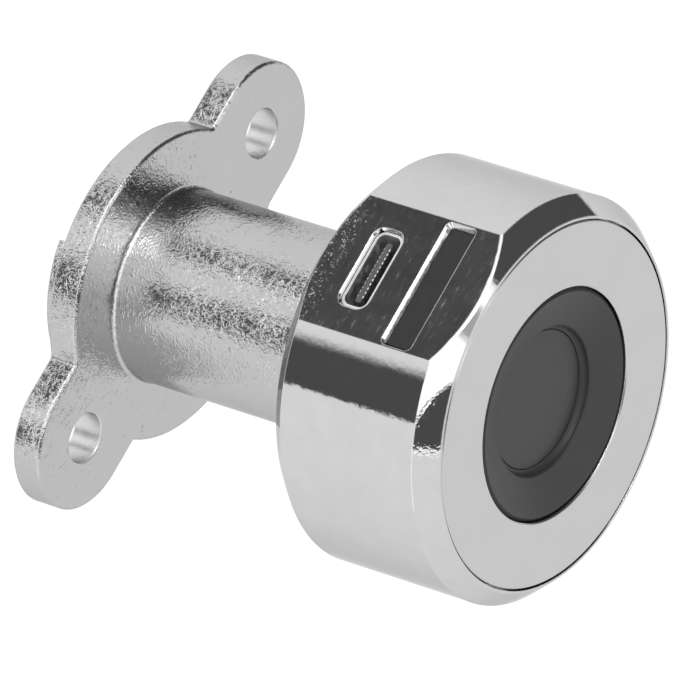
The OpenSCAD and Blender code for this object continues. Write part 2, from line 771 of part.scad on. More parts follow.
// Small motor that drives the clutch, with its front boss
module clutch_motor() {
    boss_l = 0.4;
    color("silver") on_axis() translate([motor_rear_x, 0, motor_u]) rotate([0, 90, 0]) difference() {
        union() {
            cylinder(d = motor_d, h = motor_l);
            cylinder(r = motor_shaft_r + 0.6, h = motor_l + boss_l);
        }
        translate([0, 0, motor_l - 2]) cylinder(r = motor_shaft_r + running_gap, h = 3);
    }
}

// Rear cover of the knob, which turns on the neck
module knob_base() {
    head_r2 = base_screw_head_d / 2;
    shank_r = base_screw_d / 2 + 0.1;
    sink = head_r2 - shank_r;
    color("dimgray") difference() {
        ring(base_r, neck_d / 2 + running_gap, cover_u, base_front_u);
        on_axis() at_bosses() translate([0, 0, cover_u]) {
            translate([0, 0, -eps]) cylinder(r = shank_r, h = base_t + 2 * eps);
            translate([0, 0, -eps]) cylinder(r1 = head_r2 + eps, r2 = shank_r, h = sink + eps);
        }
    }
}

// Four countersunk screws through the rear cover into the shell's bosses
module base_screws() {
    gap = 0.05;
    shank_r = base_screw_d / 2;
    top_r = base_screw_head_d / 2 - gap;
    color("silver") on_axis() at_bosses() translate([0, 0, cover_u]) difference() {
        union() {
            translate([0, 0, gap]) cylinder(r1 = top_r, r2 = shank_r, h = top_r - shank_r);
            translate([0, 0, gap]) cylinder(r = shank_r, h = base_screw_l);
        }
        for (a = [0, 90]) {
            rotate([0, 0, a]) block([-1, -0.15, -1], [1, 0.15, 0.5]);
        }
    }
}

// Lead screw on the motor's shaft
module lead_screw() {
    root_x = motor_front_x + 0.6;
    color("goldenrod") on_axis() translate([0, 0, motor_u]) rotate([0, 90, 0]) {
        translate([0, 0, root_x]) cylinder(r = lead_screw_r, h = lead_screw_tip_x - root_x);
        translate([0, 0, motor_front_x - 1.8]) cylinder(r = motor_shaft_r, h = root_x - motor_front_x + 1.9);
    }
}

// Clutch slider: a nut on the lead screw with a nose that enters the hub's slots
module clutch_slider() {
    color("silver") on_axis() translate([0, 0, motor_u]) difference() {
        union() {
            block([nut_rear_x, -nut_w / 2, -nut_h / 2], [nut_front_x, nut_w / 2, nut_h / 2]);
            block([nut_front_x - eps, -nose_w / 2, -nose_w / 2], [nose_tip_x, nose_w / 2, nose_w / 2]);
        }
        translate([nut_rear_x - eps, 0, 0]) rotate([0, 90, 0])
            cylinder(r = lead_screw_r + running_gap, h = nut_bore_end_x - nut_rear_x);
    }
}

// Square tail with its corners turned down to the spindle's round
module square_tail(gap, u0, u1) {
    on_axis() translate([0, 0, u0]) linear_extrude(u1 - u0) intersection() {
        square(square_w + 2 * gap, center = true);
        circle(spindle_r + gap);
    }
}

// Spindle with a slotted hub in the knob and a square tail for the cam
module spindle() {
    color("silver") difference() {
        union() {
            turned([[0, cam_front_u], [spindle_r, cam_front_u], [spindle_r, hub_u], [hub_r, hub_u],
                [hub_r, hub_front_u - 0.3], [hub_r - 0.3, hub_front_u], [0, hub_front_u]]);
            square_tail(0, tail_u, cam_front_u + 1);
        }
        on_axis() translate([0, 0, tail_u - eps]) cylinder(r = cam_screw_r, h = cam_screw_l + 1);
        on_axis() for (a = [0 : 90 : 270]) {
            rotate([0, 0, a]) block([slot_core_r, -slot_w / 2, motor_u - nose_w / 2 - slide_gap],
                [hub_r + 1, slot_w / 2, hub_front_u + 1]);
        }
    }
}

// Flat cam on the spindle's square, pointing down at rest
module cam() {
    tip_r = cam_w / 2;
    color("lightsteelblue") difference() {
        on_axis() translate([0, 0, cam_rear_u]) union() {
            cylinder(d = cam_eye_d, h = cam_t);
            translate([-cam_w / 2, tip_r - cam_reach, 0]) cube([cam_w, cam_reach - tip_r, cam_t]);
            translate([0, tip_r - cam_reach, 0]) cylinder(r = tip_r, h = cam_t);
        }
        square_tail(square_gap, cam_rear_u - 1, cam_front_u + 1);
    }
}

module cam_washer() {
    color("silver") ring(cam_washer_r, cam_screw_r + 0.15, cam_washer_u, cam_rear_u);
}

// Pan-head screw that holds the cam on the spindle
module cam_screw() {
    shank_r = cam_screw_r - running_gap;
    crown = 0.35;
    color("silver") difference() {
        turned([[0, cam_washer_u - cam_head_l], [cam_head_r - 2 * crown, cam_washer_u - cam_head_l],
            [cam_head_r, cam_washer_u - cam_head_l + 2 * crown], [cam_head_r, cam_washer_u],
            [shank_r, cam_washer_u], [shank_r, cam_washer_u + cam_screw_l], [0, cam_washer_u + cam_screw_l]]);
        on_axis() for (a = [0, 90]) {
            rotate([0, 0, a]) block([-cam_screw_r * 0.9, -0.4, cam_washer_u - cam_head_l - 1],
                [cam_screw_r * 0.9, 0.4, cam_washer_u - cam_head_l + 1.3]);
        }
    }
}

mounting_body();
rear_bush();
retaining_clip();
thrust_washer();
knob_shell();
face_ring();
finger_guide();
fingerprint_sensor();
sensor_board();
sensor_connector();
port_shell();
port_tongue();
port_board();
indicator_window();
indicator_leds();
main_board();
inner_frame();
battery();
buzzer();
clutch_motor();
knob_base();
base_screws();
lead_screw();
clutch_slider();
spindle();
cam();
cam_washer();
cam_screw();
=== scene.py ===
"""Fingerprint cabinet lock: finishes, port contacts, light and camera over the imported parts."""

import math

import bpy
import numpy as np
from bpy.props import FloatProperty, FloatVectorProperty, IntProperty, PointerProperty
from bpy.types import Operator, Panel, PropertyGroup
from mathutils import Matrix, Vector


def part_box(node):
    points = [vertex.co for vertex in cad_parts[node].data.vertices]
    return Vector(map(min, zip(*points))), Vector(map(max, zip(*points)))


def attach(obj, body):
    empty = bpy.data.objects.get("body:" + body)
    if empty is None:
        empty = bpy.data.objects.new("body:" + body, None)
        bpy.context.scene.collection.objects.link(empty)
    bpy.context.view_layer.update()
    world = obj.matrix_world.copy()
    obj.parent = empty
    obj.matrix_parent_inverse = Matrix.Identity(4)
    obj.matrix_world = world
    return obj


bl_info = {
    "name": "Fingerprint Cabinet Lock",
    "version": (1, 0, 0),
    "blender": (4, 5, 0),
    "location": "3D View > Sidebar > Lock",
    "description": "Finishes, port contacts, light and camera of a knob lock with a fingerprint sensor",
    "category": "Object",
}

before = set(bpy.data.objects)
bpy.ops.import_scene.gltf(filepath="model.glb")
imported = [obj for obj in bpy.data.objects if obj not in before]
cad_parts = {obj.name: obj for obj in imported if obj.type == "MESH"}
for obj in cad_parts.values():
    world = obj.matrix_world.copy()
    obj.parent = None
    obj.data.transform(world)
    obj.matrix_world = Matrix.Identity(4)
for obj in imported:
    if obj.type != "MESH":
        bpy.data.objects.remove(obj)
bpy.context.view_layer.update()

# Plated metal mirrors a little less where it is seen at a slant
SLANT_TINT = (0.70, 0.70, 0.70, 1.0)
WHITE = (1.0, 1.0, 1.0, 1.0)
MM_PER_M = 1000.0


class Wire:
    """An output socket that can stand in a sum: each operator adds one Math node."""

    def __init__(self, bench, socket):
        self.bench = bench
        self.socket = socket

    def sum(self, operation, *terms):
        return self.bench.add("ShaderNodeMath", {"operation": operation}, dict(enumerate(terms)))

    def __add__(self, other):
        return self.sum("ADD", self, other)

    def __sub__(self, other):
        return self.sum("SUBTRACT", self, other)

    def __rsub__(self, other):
        return self.sum("SUBTRACT", other, self)

    def __mul__(self, other):
        return self.sum("MULTIPLY", self, other)

    def __pow__(self, other):
        return self.sum("POWER", self, other)

    def most(self, other):
        """The larger of two values."""
        return self.sum("MAXIMUM", self, other)

    def unsigned(self):
        """The value without its sign."""
        return self.sum("ABSOLUTE", self)

    __radd__ = __add__
    __rmul__ = __mul__


class Bench:
    """The node tree of one finish, with the few moves that build it."""

    def __init__(self, tree):
        self.tree = tree
        tree.nodes.clear()

    def add(self, kind, settings=None, sockets=None, output=0):
        """One node: its settings first, then the values or wires of its sockets."""
        node = self.tree.nodes.new(kind)
        for name, value in (settings or {}).items():
            setattr(node, name, value)
        for name, value in (sockets or {}).items():
            self.feed(node.inputs[name], value)
        return Wire(self, node.outputs[output]) if len(node.outputs) else node

    def feed(self, socket, value):
        if isinstance(value, Wire):
            self.tree.links.new(value.socket, socket)
        else:
            socket.default_value = value

    def place(self):
        """Point on the piece, in metres."""
        return self.add("ShaderNodeTexCoord", output="Object")

    def facing(self):
        """The three parts of the surface's direction on the piece."""
        return self.split(self.add("ShaderNodeTexCoord", output="Normal"))

    def noise(self, size, detail=2.0, roughness=0.5, vector=None, distortion=0.0):
        """Cloudy pattern with features of the given size in metres, 0 to 1."""
        return self.add("ShaderNodeTexNoise", {"noise_dimensions": "3D"}, {
            "Vector": vector or self.place(), "Scale": 1.0 / size, "Detail": detail,
            "Roughness": roughness, "Distortion": distortion})

    def ridges(self, size, detail):
        """Winding ridges about half the given size apart, 0 at their crest."""
        return (self.noise(size, detail, distortion=0.8) - 0.5).unsigned() * 2.0

    def step(self, value, low, high, to_low=0.0, to_high=1.0):
        """Soft step: to_low below low, to_high above high."""
        return self.add("ShaderNodeMapRange", {"interpolation_type": "SMOOTHSTEP"}, {
            "Value": value, "From Min": low, "From Max": high, "To Min": to_low, "To Max": to_high})

    def fall(self, value, low, high):
        """Soft step down: 1 below low, 0 above high."""
        return self.step(value, low, high, 1.0, 0.0)

    def blend(self, factor, dark, light):
        """Colour between two colours."""
        return self.add("ShaderNodeMix", {"data_type": "RGBA"}, {0: factor, 6: dark, 7: light}, output=2)

    def split(self, vector):
        """The three parts of a vector."""
        parts = self.add("ShaderNodeSeparateXYZ", None, {0: vector})
        return [Wire(self, part) for part in parts.socket.node.outputs]

    def stretch(self, scale, turn=(0.0, 0.0, 0.0)):
        """Point on the piece with its axes scaled, for patterns with a run."""
        return self.add("ShaderNodeMapping", {"vector_type": "POINT"}, {
            "Vector": self.place(), "Rotation": turn, "Scale": scale})

    def rounded(self, radius):
        """The surface's direction with its edges rounded off."""
        return self.add("ShaderNodeBevel", {"samples": 4}, {"Radius": radius})

    def bump(self, height, depth, under=None):
        """Surface relief: height 0 to 1 stands for the given depth in metres."""
        sockets = {"Height": height, "Distance": depth, "Strength": 1.0}
        if under is not None:
            sockets["Normal"] = under
        return self.add("ShaderNodeBump", None, sockets)


def shade(colour, factor):
    return tuple(min(1.0, channel * factor) for channel in colour[:3]) + (1.0,)


def finish(name, metal, **sockets):
    """A material with one Principled shader: returns the material, its bench and its shader."""
    material = bpy.data.materials.new(name)
    material.use_nodes = True
    bench = Bench(material.node_tree)
    shader = bench.tree.nodes.new("ShaderNodeBsdfPrincipled")
    bench.add("ShaderNodeOutputMaterial", None, {"Surface": Wire(bench, shader.outputs[0])})
    shader.inputs["Metallic"].default_value = metal
    feed_sockets(bench, shader, **sockets)
    return material, bench, shader


def feed_sockets(bench, shader, **sockets):
    """Feeds a shader's sockets, with an underscore for each space in their names."""
    for socket, value in sockets.items():
        bench.feed(shader.inputs[socket.replace("_", " ")], value)


def dress(material, *nodes):
    """Puts a finish on CAD nodes, which keep their meshes."""
    for node in nodes:
        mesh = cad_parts[node].data
        for index in range(max(1, len(mesh.materials))):
            if index < len(mesh.materials):
                mesh.materials[index] = material
            else:
                mesh.materials.append(material)


def in_bore(bench, bore, room=0.00008):
    """1 on the walls of two bores along Y, 0 elsewhere: bore holds half their spacing and their radius."""
    half_spacing, radius = bore
    x, _, z = bench.split(bench.place())
    aside = x.unsigned() - half_spacing
    return bench.fall((aside * aside + z * z) ** 0.5, radius + room, radius + room * 2.0)


def plated(name, colour, roughness, grain, depth, spread=0.18, edge=0.00008, bore=None):
    """Plating on a die casting: metal over the casting's skin, which is drawn as winding ridges.

    The skin's height is the distance of a cloudy value from its middle, so the ridges run where
    the value crosses it. A second, broader cloud makes them stronger in some places than in others.
    Bores are smoother than the skin and their plating is duller; their colour is also made paler as a painted
    highlight, standing in for light on their walls.
    """
    material, bench, shader = finish(name, 1.0, Specular_Tint=SLANT_TINT)
    clouds = bench.noise(0.004, 3.0, 0.55)
    patches = bench.step(bench.noise(0.0022), 0.35, 0.65, 0.6, 1.0)
    skin = (bench.ridges(grain, 1.2) * 0.75 + bench.ridges(grain * 0.55, 0.0) * 0.25) * patches
    tone = bench.blend(clouds, shade(colour, 0.95), shade(colour, 1.03))
    gloss = bench.step(clouds, 0.3, 0.7, roughness * (1.0 - spread), roughness * (1.0 + spread))
    if bore:
        bore_walls_and_sheen = in_bore(bench, bore)
        # Painted highlight: the bore walls get a paler colour in place of the light on them; their duller,
        # smoother finish below is real.
        tone = bench.blend(bore_walls_and_sheen, tone, shade(colour, 1.30))
        gloss = gloss + bore_walls_and_sheen * 0.18
        skin = skin * (1.0 - bore_walls_and_sheen * 0.7)
    feed_sockets(bench, shader, Base_Color=tone, Roughness=gloss,
                 Normal=bench.bump(skin, depth, bench.rounded(edge)))
    return material


def chromed(name, colour, roughness, grain, depth, front, rear):
    """Polished chrome: faint orange peel, scuffs on the flat, a hammered rear rim and a crowned chamfer.

    The front and rear are the shell's ends along Y. Heights are in millimetres. Scuffs are the peaks
    of a stretched cloud, on which the chrome is rougher. The hammering fades with the distance from
    the flat's rear edge, and some of it lies on the chamfer's low side. The crown falls with the
    square of the distance from the chamfer's middle line.
    """
    chamfer_middle = front + 0.00105
    crown = 0.0415
    hammer_height = 0.04
    edge = 0.00016
    material, bench, shader = finish(name, 1.0, Specular_Tint=SLANT_TINT)
    clouds = bench.noise(0.003, 3.0, 0.6)
    y = bench.split(bench.place())[1]
    facing_x, facing_y, facing_z = bench.facing()
    on_flat = bench.step(facing_z, 0.97, 0.99)
    on_chamfer = bench.step(facing_y, -0.85, -0.75) * bench.fall(facing_y, -0.55, -0.45)

    slanting = bench.stretch((0.3, 1.0, 1.0), (0.0, 0.0, 0.6))
    scuffs = bench.step(bench.noise(0.0005, 4.0, 0.75, slanting), 0.50, 0.72)
    smears = bench.step(clouds, 0.40, 0.75)
    mottle = (clouds - 0.5) * (on_flat * 1.4 + 0.3) + scuffs * on_flat * 0.25 + 0.5
    gloss = roughness + (scuffs * 0.14 + smears * 0.05) * (on_flat * 0.8 + 0.2)

    rear_rim = bench.step(y, rear - 0.0050, rear - 0.0015) * on_flat
    low_side = bench.step(facing_x, -0.45, -0.25, 0.22, 0.0) * on_chamfer
    hammering = bench.noise(0.00032, 1.0) * (rear_rim + low_side)
    across = (y - chamfer_middle) * MM_PER_M
    peel = bench.noise(grain, 2.0, 0.55) * depth * MM_PER_M
    skin = peel + hammering * hammer_height - across * across * crown * on_chamfer
    feed_sockets(bench, shader, Base_Color=bench.blend(mottle, shade(colour, 0.78), shade(colour, 1.22)),
         Roughness=gloss, Normal=bench.bump(skin, 1.0 / MM_PER_M, bench.rounded(edge)))
    return material


def moulded(name, colour, roughness, grain, depth, level=0.5):
    """Moulded plastic with a fine spark-eroded texture."""
    material, bench, shader = finish(name, 0.0, Specular_IOR_Level=level)
    fine = bench.noise(grain, 3.0, 0.65)
    clouds = bench.noise(0.003)
    feed_sockets(bench, shader, Base_Color=bench.blend(clouds, shade(colour, 0.93), shade(colour, 1.07)),
         Roughness=bench.step(fine, 0.35, 0.65, roughness * 0.9, roughness * 1.1),
         Normal=bench.bump(fine, depth))
    return material


def turned_metal(name, colour, roughness, pitch, depth):
    """Turned or drawn metal: fine lines around the barrel's axis, with a soft mottle."""
    material, bench, shader = finish(name, 1.0)
    lines = bench.noise(pitch, 2.0, 0.6, bench.stretch((0.12, 1.0, 0.12)))
    clouds = bench.noise(0.0025)
    feed_sockets(bench, shader, Base_Color=bench.blend(clouds, shade(colour, 0.92), shade(colour, 1.04)),
         Roughness=bench.step(lines, 0.35, 0.65, roughness * 0.8, roughness * 1.2),
         Normal=bench.bump(lines, depth))
    return material


def coated_board(name, colour):
    """Lacquered circuit board: glossy coat over faint tracks and islands."""
    material, bench, shader = finish(name, 0.0, Coat_Roughness=0.12)
    tracks = bench.add("ShaderNodeTexBrick", {"offset": 0.5}, {
        "Vector": bench.place(), "Scale": 700.0, "Brick Width": 1.6, "Row Height": 0.7, "Mortar Size": 0.04,
        "Color1": WHITE, "Color2": (0.8, 0.8, 0.8, 1.0), "Mortar": (0.0, 0.0, 0.0, 1.0)}, output="Fac")
    clouds = bench.noise(0.002)
    islands = bench.step(clouds + tracks * 0.25, 0.55, 0.6)
    feed_sockets(bench, shader, Base_Color=bench.blend(islands, shade(colour, 0.75), shade(colour, 1.25)),
         Roughness=bench.step(islands, 0.0, 1.0, 0.35, 0.45),
         Coat_Weight=bench.step(clouds, 0.2, 0.8, 0.5, 0.8),
         Normal=bench.bump(islands, 0.00002))
    return material


def surface(name, points, material, flip=False):
    """Smooth mesh over a grid of points (rows, columns, 3)."""
    rows, columns = points.shape[:2]
    index = np.arange(rows * columns).reshape(rows, columns)
    quads = np.stack([index[:-1, :-1], index[1:, :-1], index[1:, 1:], index[:-1, 1:]], axis=-1).reshape(-1, 4)
    if flip:
        quads = quads[:, ::-1]
    mesh = bpy.data.meshes.new(name)
    mesh.from_pydata(points.reshape(-1, 3).tolist(), [], quads.tolist())
    mesh.polygons.foreach_set("use_smooth", np.ones(len(mesh.polygons), dtype=bool))
    mesh.materials.append(material)
    mesh.update()
    piece = bpy.data.objects.new(name, mesh)
    bpy.context.scene.collection.objects.link(piece)
    return piece


def tint_property(name, description, default):
    """A property for a colour."""
    return FloatVectorProperty(name=name, description=description, subtype="COLOR",
                               default=default, min=0, max=1)


def length_property(name, description, default, low, high):
    """A property for a length in metres."""
    return FloatProperty(name=name, description=description, subtype="DISTANCE", unit="LENGTH",
                         default=default, min=low, max=high)


class LockFinish(PropertyGroup):
    """Colours and grain of the lock's surfaces."""
    nickel: tint_property("Nickel", "Colour of the plated mounting body", (0.54, 0.54, 0.538))
    chrome: tint_property("Chrome", "Colour of the polished knob", (0.63, 0.63, 0.64))
    satin: tint_property("Satin ring", "Colour of the ring around the finger guide", (0.62, 0.62, 0.62))
    guide: tint_property("Guide", "Colour of the finger guide", (0.034, 0.034, 0.035))
    lens: tint_property("Lens", "Colour of the smoked window", (0.034, 0.034, 0.0345))
    grain: length_property("Grain", "Size of the casting's grain under the plating", 0.0006, 0.00005, 0.002)
    nickel_relief: length_property("Nickel relief", "Depth of the grain on the mounting body",
                                   0.00008, 0, 0.0003)
    nickel_edge: length_property("Nickel edge", "Radius of the mounting body's worn edges", 0.0002, 0, 0.0005)
    chrome_relief: length_property("Chrome relief", "Depth of the grain on the knob", 0.000008, 0, 0.0003)
    hole_spacing: length_property("Hole spacing", "Between the centres of the two screw holes",
                                  0.0371, 0.034, 0.048)
    hole_radius: length_property("Hole radius", "Radius of the screw holes", 0.0026, 0.0015, 0.0035)


class LockContacts(PropertyGroup):
    """Sizes of the contacts on the charging port's tongue."""
    count: IntProperty(name="Contacts", description="Contacts on each face of the tongue",
                       default=12, min=4, max=16)
    pitch: length_property("Pitch", "From one contact to the next", 0.0005, 0.0003, 0.001)
    width: length_property("Width", "Width of one contact", 0.00038, 0.0001, 0.0008)
    length: length_property("Length", "Length of one contact along the tongue", 0.0036, 0.001, 0.004)


class LockStage(PropertyGroup):
    """Light, floor and camera."""
    level: FloatProperty(name="Light level", description="Brightness of the mirrored room",
                         default=1.0, min=0, max=3)
    sky: FloatProperty(name="Sky level", description="Brightness of the plain sky that matt surfaces see",
                       default=0.94, min=0, max=3)
    card: FloatProperty(name="Card level", description="Brightness of the dark cards in the reflections",
                        default=0.095, min=0, max=1)
    key: FloatProperty(name="Key level", description="Brightness of the key lights in the reflections",
                       default=1.7, min=0, max=5)
    lamp: FloatProperty(name="Lamp", description="Power of the soft lamp above the lock",
                        subtype="POWER", unit="POWER", default=2.0, min=0, max=50)
    distance: length_property("Camera distance", "From the camera to the lock", 1.21, 0.3, 5)
    floor_drop: length_property("Floor", "Height of the floor against the lock's axis", -0.3, -2, -0.05)


class LOCK_OT_mounting_body(Operator):
    """Plates the mounting body with satin nickel"""
    bl_idname = "lock.mounting_body"
    bl_label = "Mounting Body"

    def execute(self, context):
        look = context.scene.lock_finish
        bore = (look.hole_spacing / 2, look.hole_radius)
        dress(plated("nickel_plate", look.nickel, 0.15, look.grain, look.nickel_relief,
                     edge=look.nickel_edge, bore=bore), "mounting_body")
        return {"FINISHED"}


class LOCK_OT_knob(Operator):
    """Plates the knob's shell with bright chrome and gives its face the satin ring"""
    bl_idname = "lock.knob"
    bl_label = "Knob Shell and Ring"

    def execute(self, context):
        look = context.scene.lock_finish
        low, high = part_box("knob_shell")
        dress(chromed("bright_chrome", look.chrome, 0.04, look.grain * 1.6, look.chrome_relief,
                      front=low[1], rear=high[1]), "knob_shell")
        dress(plated("satin_ring", look.satin, 0.26, look.grain * 0.4, 0.000003, spread=0.03), "face_ring")
        return {"FINISHED"}


class LOCK_OT_finger_rest(Operator):
    """Gives the finger guide its matt moulding and the sensor its coating"""
    bl_idname = "lock.finger_rest"
    bl_label = "Finger Guide and Sensor"

    def execute(self, context):
        look = context.scene.lock_finish
        dress(moulded("guide_plastic", look.guide, 0.42, 0.00018, 0.000020, 0.33), "finger_guide")
        coating = moulded("sensor_face", shade(look.guide, 0.9), 0.38, 0.00025, 0.000003, 0.4)
        dress(coating, "fingerprint_sensor")
        return {"FINISHED"}


class LOCK_OT_port(Operator):
    """Finishes the charging port and lays the contacts on its tongue"""
    bl_idname = "lock.port"
    bl_label = "Charging Port"
    tongue_half = 0.00035

    def execute(self, context):
        dress(turned_metal("port_metal", (0.72, 0.72, 0.71), 0.50, 0.00012, 0.000003), "port_shell")
        dress(moulded("port_plastic", (0.08, 0.08, 0.082), 0.42, 0.00012, 0.000006), "port_tongue", "buzzer")
        size = context.scene.lock_contacts
        low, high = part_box("port_tongue")
        plating = turned_metal("contact_plating", (0.42, 0.41, 0.395), 0.36, 0.00008, 0.000002)
        places = (np.arange(size.count) - (size.count - 1) / 2) * size.pitch
        for side, label in ((-1, "front"), (1, "rear")):
            self.lay_contacts(label, places, (low[1] + high[1]) / 2, side, high[2], size, plating)
        return {"FINISHED"}

    def lay_contacts(self, label, places, middle_y, side, top, size, material):
        """Each contact is a low bar that hooks over the tongue's edge: a half-oval carried along a path.

        The path runs up the tongue's face and then a quarter turn round its top edge. Round the
        section the angle a runs from 0 to pi: across = w/2 cos a, out = h sin a. Along the bar t
        runs from 0 to 1, and the section shrinks as a power of sin(pi t), so the ends are closed.
        """
        radius, inset, rise, sunk = 0.00013, 0.0001, 0.00004, 0.00001
        bend = np.linspace(0.0, math.pi / 2, 9)
        rest = np.linspace(0.0, 1.0, 9)[:-1]
        face = self.tongue_half - inset + radius
        out = np.concatenate([np.full_like(rest, face), self.tongue_half - inset + radius * np.cos(bend)])
        up = np.concatenate([top - inset - size.length * (1.0 - rest), top - inset + radius * np.sin(bend)])
        lean = np.concatenate([np.zeros_like(rest), bend])[None, :, None]
        along = np.sin(math.pi * np.linspace(0.0, 1.0, out.size))
        swell = np.clip(along, 0.0, 1.0)[None, :, None] ** 0.25
        angle = np.linspace(0.0, math.pi, 7)[None, None, :]
        lift = swell * rise * np.sin(angle) - sunk
        x = places[:, None, None] + swell * size.width / 2 * np.cos(angle)
        y = middle_y + side * (out[None, :, None] + lift * np.cos(lean)) + 0 * x
        z = up[None, :, None] + lift * np.sin(lean) + 0 * x
        for number, points in enumerate(np.stack([x, y, z], axis=-1)):
            piece = surface(f"port_contact_{label}_{number + 1:02d}", points, material, flip=side < 0)
            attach(piece, "knob")


class LOCK_OT_window(Operator):
    """Finishes the smoked window and the lights behind it"""
    bl_idname = "lock.window"
    bl_label = "Indicator Window"

    def execute(self, context):
        look = context.scene.lock_finish
        dress(moulded("smoked_lens", look.lens, 0.22, 0.0006, 0.000002), "indicator_window")
        dress(moulded("lamp_body", (0.75, 0.80, 0.82), 0.20, 0.0003, 0.000002), "indicator_leds")
        return {"FINISHED"}


class LOCK_OT_electronics(Operator):
    """Finishes the boards, the cell, the frame and the plugs inside the knob"""
    bl_idname = "lock.electronics"
    bl_label = "Electronics"

    def execute(self, context):
        dress(coated_board("circuit_board", (0.03, 0.16, 0.07)), "sensor_board", "port_board", "main_board")
        dress(moulded("light_plastic", (0.80, 0.79, 0.74), 0.45, 0.0002, 0.000006),
              "sensor_connector", "thrust_washer")
        dress(moulded("frame_plastic", (0.07, 0.07, 0.075), 0.55, 0.0002, 0.000012), "inner_frame")
        dress(moulded("cell_wrap", (0.20, 0.26, 0.33), 0.30, 0.0015, 0.00002), "battery")
        return {"FINISHED"}


class LOCK_OT_mechanism(Operator):
    """Finishes the spindle, cam, clutch, bush, clip and screws"""
    bl_idname = "lock.mechanism"
    bl_label = "Mechanism"

    def execute(self, context):
        dress(turned_metal("zinc_steel", (0.54, 0.55, 0.56), 0.24, 0.00015, 0.000004),
              "clutch_motor", "base_screws", "clutch_slider", "spindle", "cam", "cam_washer", "cam_screw")
        dress(turned_metal("bronze", (0.68, 0.50, 0.26), 0.30, 0.00012, 0.000004), "rear_bush", "lead_screw")
        dress(turned_metal("dark_spring_steel", (0.16, 0.16, 0.17), 0.40, 0.0002, 0.000005), "retaining_clip")
        dress(plated("cover_metal", (0.30, 0.30, 0.31), 0.38, 0.0003, 0.000008), "knob_base")
        return {"FINISHED"}


class Room:
    """Masks over the directions in which the metal looks: 1 inside a shape and 0 outside, with soft edges.

    A direction has the parts x, y and z, where y runs along the barrel. Its turn is the angle
    atan2(z, x) about the barrel, in degrees. The mask low holds the directions well in front of the
    knob's face, and foot is a turn there that leans with y, as the foot of the chamfer does.
    """

    def __init__(self, bench):
        self.bench = bench
        self.direction = bench.add("ShaderNodeVectorMath", {"operation": "NORMALIZE"}, {
            0: bench.add("ShaderNodeTexCoord", output="Generated")})
        self.x, self.y, self.z = bench.split(self.direction)
        self.turn = self.z.sum("ARCTAN2", self.z, self.x) * (180 / math.pi)
        self.low = bench.fall(self.y, -0.52, -0.46)
        self.foot = self.turn + (self.y + 0.84) * 40.0

    def disc(self, centre, half_angle, soft):
        """Round shape about a direction, with angles in degrees."""
        cosine = self.bench.add("ShaderNodeVectorMath", {"operation": "DOT_PRODUCT"},
                                {0: self.direction, 1: tuple(Vector(centre).normalized())}, output="Value")
        return self.bench.step(cosine, math.cos(math.radians(half_angle + soft)),
                               math.cos(math.radians(half_angle - soft)))

    def band(self, value, centre, half, soft):
        """Strip in which a value lies within half of its centre."""
        return self.bench.fall((value - centre).unsigned(), half - soft, half + soft)

    def dark_cards(self):
        """What the front chamfer, the flat, the barrel with the shell, and the chamfer's foot mirror."""
        step, fall = self.bench.step, self.bench.fall
        side = self.disc((0.882, -0.420, 0.109), half_angle=36.5, soft=1.0)
        top = self.disc((0.316, 0.543, 0.778), half_angle=10.0, soft=2.0)
        strip = step(self.turn, 113.5, 121.5) * fall(self.turn, 143.6, 145.2)
        strip = strip * self.band(self.y, centre=0.49, half=0.19, soft=0.03)
        near = step(self.turn - (self.y + 0.84) * 125.0, 115.0, 120.0)
        foot = near * fall(self.foot, 168.0, 169.5) * self.low
        return side.most(top).most(strip).most(foot)

    def grey_wedge(self):
        """A duller part of the room, low in front, that greys the chamfer beside its bright patch."""
        return self.band(self.turn, centre=75.0, half=12.0, soft=5.0) * self.bench.fall(self.y, -0.66, -0.60)

    def key_lights(self, wedge):
        """Overhead, ahead and behind, with the wedge cut out, a line at the chamfer's foot and one aside."""
        overhead = self.band(self.turn, centre=99.5, half=50.5, soft=4.0)
        overhead = overhead * self.band(self.y, centre=-0.36, half=0.62, soft=0.06)
        ahead = self.disc((0.31, -0.95, 0.08), half_angle=14.0, soft=4.0)
        behind = self.band(self.turn, centre=105.0, half=55.0, soft=4.0)
        behind = behind * self.band(self.y, centre=0.82, half=0.12, soft=0.04) * 0.8
        line = self.band(self.foot, centre=170.4, half=0.8, soft=0.5) * self.low
        aside = self.bench.fall(self.x, -0.45, -0.35) * self.bench.step(self.z, -0.2, -0.1)
        aside = aside * self.band(self.y, centre=-0.08, half=0.34, soft=0.04)
        return (overhead.most(ahead).most(behind) * (1.0 - wedge)).most(line).most(aside)


